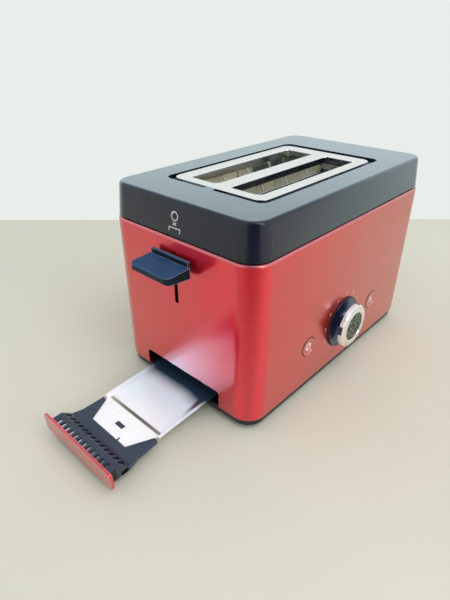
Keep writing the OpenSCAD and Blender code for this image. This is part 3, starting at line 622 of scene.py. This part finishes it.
class Sheet:
    """Thin flat shapes on a plane of the object, in millimetres, collected in one mesh."""

    def __init__(self, origin, across, up, thickness):
        self.across = Vector(across).normalized()
        self.up = Vector(up).normalized()
        self.out = self.across.cross(self.up)
        self.origin = Vector(origin)
        self.thickness = thickness
        self.bm = bmesh.new()

    def point(self, u, v, w):
        return (self.origin + self.across * u + self.up * v + self.out * w) * MM

    def strip(self, inner, outer, closed):
        """A band between two lines of points, as a closed solid."""
        rings = [
            [self.bm.verts.new(self.point(u, v, w)) for u, v in line]
            for w in (0, self.thickness)
            for line in (inner, outer)
        ]
        low_in, low_out, top_in, top_out = rings
        count = len(inner)
        for i in range(count if closed else count - 1):
            j = (i + 1) % count
            self.bm.faces.new((top_in[i], top_in[j], top_out[j], top_out[i]))
            self.bm.faces.new((low_in[j], low_in[i], low_out[i], low_out[j]))
            self.bm.faces.new((top_out[i], top_out[j], low_out[j], low_out[i]))
            self.bm.faces.new((top_in[j], top_in[i], low_in[i], low_in[j]))
        if not closed:
            self.bm.faces.new((low_in[0], top_in[0], top_out[0], low_out[0]))
            self.bm.faces.new((low_out[-1], top_out[-1], top_in[-1], low_in[-1]))

    def ring(self, u, v, radius, width, turns=1.0, start=0.0):
        """A ring, or a part of its turn from an angle on."""
        steps = 48
        angles = [start + 2 * math.pi * turns * i / steps for i in range(steps + (turns < 1))]
        lines = [
            [(u + r * math.cos(a), v + r * math.sin(a)) for a in angles]
            for r in (radius - width / 2, radius + width / 2)
        ]
        self.strip(*lines, closed=turns == 1.0)

    def line(self, points, width):
        """A stroke with mitred corners."""
        sharpest = 0.3
        sides = ([], [])
        for i, here in enumerate(points):
            here = Vector(here)
            before = Vector(points[i - 1]) if i else None
            after = Vector(points[i + 1]) if i + 1 < len(points) else None
            ways = [(b - a).normalized() for a, b in ((before, here), (here, after)) if a and b]
            normals = [Vector((-d.y, d.x)) for d in ways]
            mean = sum(normals, Vector((0, 0))).normalized()
            offset = mean * (width / 2 / max(sharpest, mean.dot(normals[0])))
            sides[0].append(tuple(here - offset))
            sides[1].append(tuple(here + offset))
        self.strip(*sides, closed=False)

    def make(self, name, material, body):
        bmesh.ops.recalc_face_normals(self.bm, faces=self.bm.faces)
        mesh = bpy.data.meshes.new(name)
        self.bm.to_mesh(mesh)
        self.bm.free()
        link(name, mesh, material, body)


def ink(name, color):
    """Satin print, almost without grain."""
    return plastic(name, color, 0.5, depth=0.002)


pale_ink = ink("pale_ink", (0.62, 0.64, 0.62))
warm_ink = ink("warm_ink", (0.88, 0.66, 0.58))
bright_ink = ink("bright_ink", (0.95, 0.88, 0.86))
dark_ink = ink("dark_ink", (0.03, 0.03, 0.03))


def cover_symbol():
    """Sign for warming a roll: a roll, warm air and the top of a toaster."""
    draft = math.radians(5.5)
    wall_foot = 160.2
    y, z = -0.4, 171.5
    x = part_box("top_cover")[0].x / MM + (z - wall_foot) * math.tan(draft)
    up_wall = (math.sin(draft), 0, math.cos(draft))
    sheet = Sheet((x, y, z), (0, -1, 0), up_wall, 0.05)
    sheet.ring(0, 5.3, 3.5, 0.9)
    sheet.ring(-0.3, 5.8, 2.2, 0.5, turns=0.3, start=math.radians(75))
    for side in (-1, 1):
        sheet.line([(side * 1.9, -2.3), (side * 0.9, -0.9), (side * 1.7, 0.4)], 0.8)
    sheet.line([(-0.9, -1.6), (0.9, -0.2)], 0.9)
    sheet.line([(-0.9, -0.2), (0.9, -1.6)], 0.9)
    sheet.line([(-6.6, -7.8), (-6.1, -4.3), (6.1, -4.3), (6.1, -7.6)], 0.9)
    sheet.make("cover_symbol", pale_ink, "toaster")


def dial_marks():
    """Numbers 1 to 7 on the housing, round the dial."""
    centre = middle(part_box("dial_bezel"))
    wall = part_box("housing")[0].y / MM
    radius = 30.5
    first_angle = 199
    step = 28
    sunk = 0.02
    numbers = bpy.data.curves.new("dial_numbers", "FONT")
    numbers.size = 4.4 * MM
    numbers.align_x = "CENTER"
    numbers.align_y = "CENTER"
    numbers.extrude = 0.025 * MM
    meshes = bmesh.new()
    for i in range(7):
        angle = math.radians(first_angle - step * i)
        numbers.body = str(i + 1)
        obj = bpy.data.objects.new("number", numbers)
        bpy.context.scene.collection.objects.link(obj)
        bpy.context.view_layer.update()
        mesh = obj.evaluated_get(bpy.context.evaluated_depsgraph_get()).to_mesh().copy()
        x = centre.x + radius * math.cos(angle)
        z = centre.z + radius * math.sin(angle)
        at = Vector((x, wall - sunk, z)) * MM
        mesh.transform(Matrix.Translation(at) @ Matrix.Rotation(math.radians(90), 4, "X"))
        meshes.from_mesh(mesh)
        bpy.data.objects.remove(obj)
    mesh = bpy.data.meshes.new("dial_numbers")
    bmesh.ops.remove_doubles(meshes, verts=meshes.verts, dist=1e-7)
    meshes.to_mesh(mesh)
    meshes.free()
    bpy.data.curves.remove(numbers)
    link("dial_numbers", mesh, warm_ink, "toaster")


def dial_pointer():
    """Mark on the ring's sloping face."""
    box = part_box("dial_ring")
    centre = middle(box)
    angle = math.radians(232)
    c, s = math.cos(angle), math.sin(angle)
    radius = 18.4
    # The face falls back from its inner to its outer radius
    inner, outer, fall = 14.6, 20.3, 0.7
    slope = fall / (outer - inner)
    face = box[0].y / MM + slope * (radius - inner)
    at = (centre.x + radius * c, face, centre.z + radius * s)
    sheet = Sheet(at, (s, 0, -c), (c, slope, s), 0.05)
    half_length = 1.6
    sheet.line([(0, -half_length), (0, half_length)], 0.7)
    sheet.make("dial_pointer", dark_ink, "browning_dial")


def button_signs():
    """A crossed ring on the stop button, and a star of three strokes on the defrost button."""
    dish = 0.5
    for body, node in (("stop_button", "button_stop"), ("defrost_button", "button_defrost")):
        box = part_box(node)
        centre = middle(box)
        sheet = Sheet((centre.x, box[0].y / MM + dish, centre.z), (1, 0, 0), (0, 0, 1), 0.03)
        if node == "button_stop":
            sheet.ring(0, 0, 3.4, 1.0)
            sheet.line([(-2.2, -2.2), (2.2, 2.2)], 1.0)
        else:
            for angle in (90, 30, 150):
                a = math.radians(angle)
                arm = Vector((math.cos(a), math.sin(a))) * 3.8
                sheet.line([tuple(-arm), tuple(arm)], 0.8)
        sheet.make(node + "_sign", bright_ink, body)


cover_symbol()
dial_marks()
dial_pointer()
button_signs()
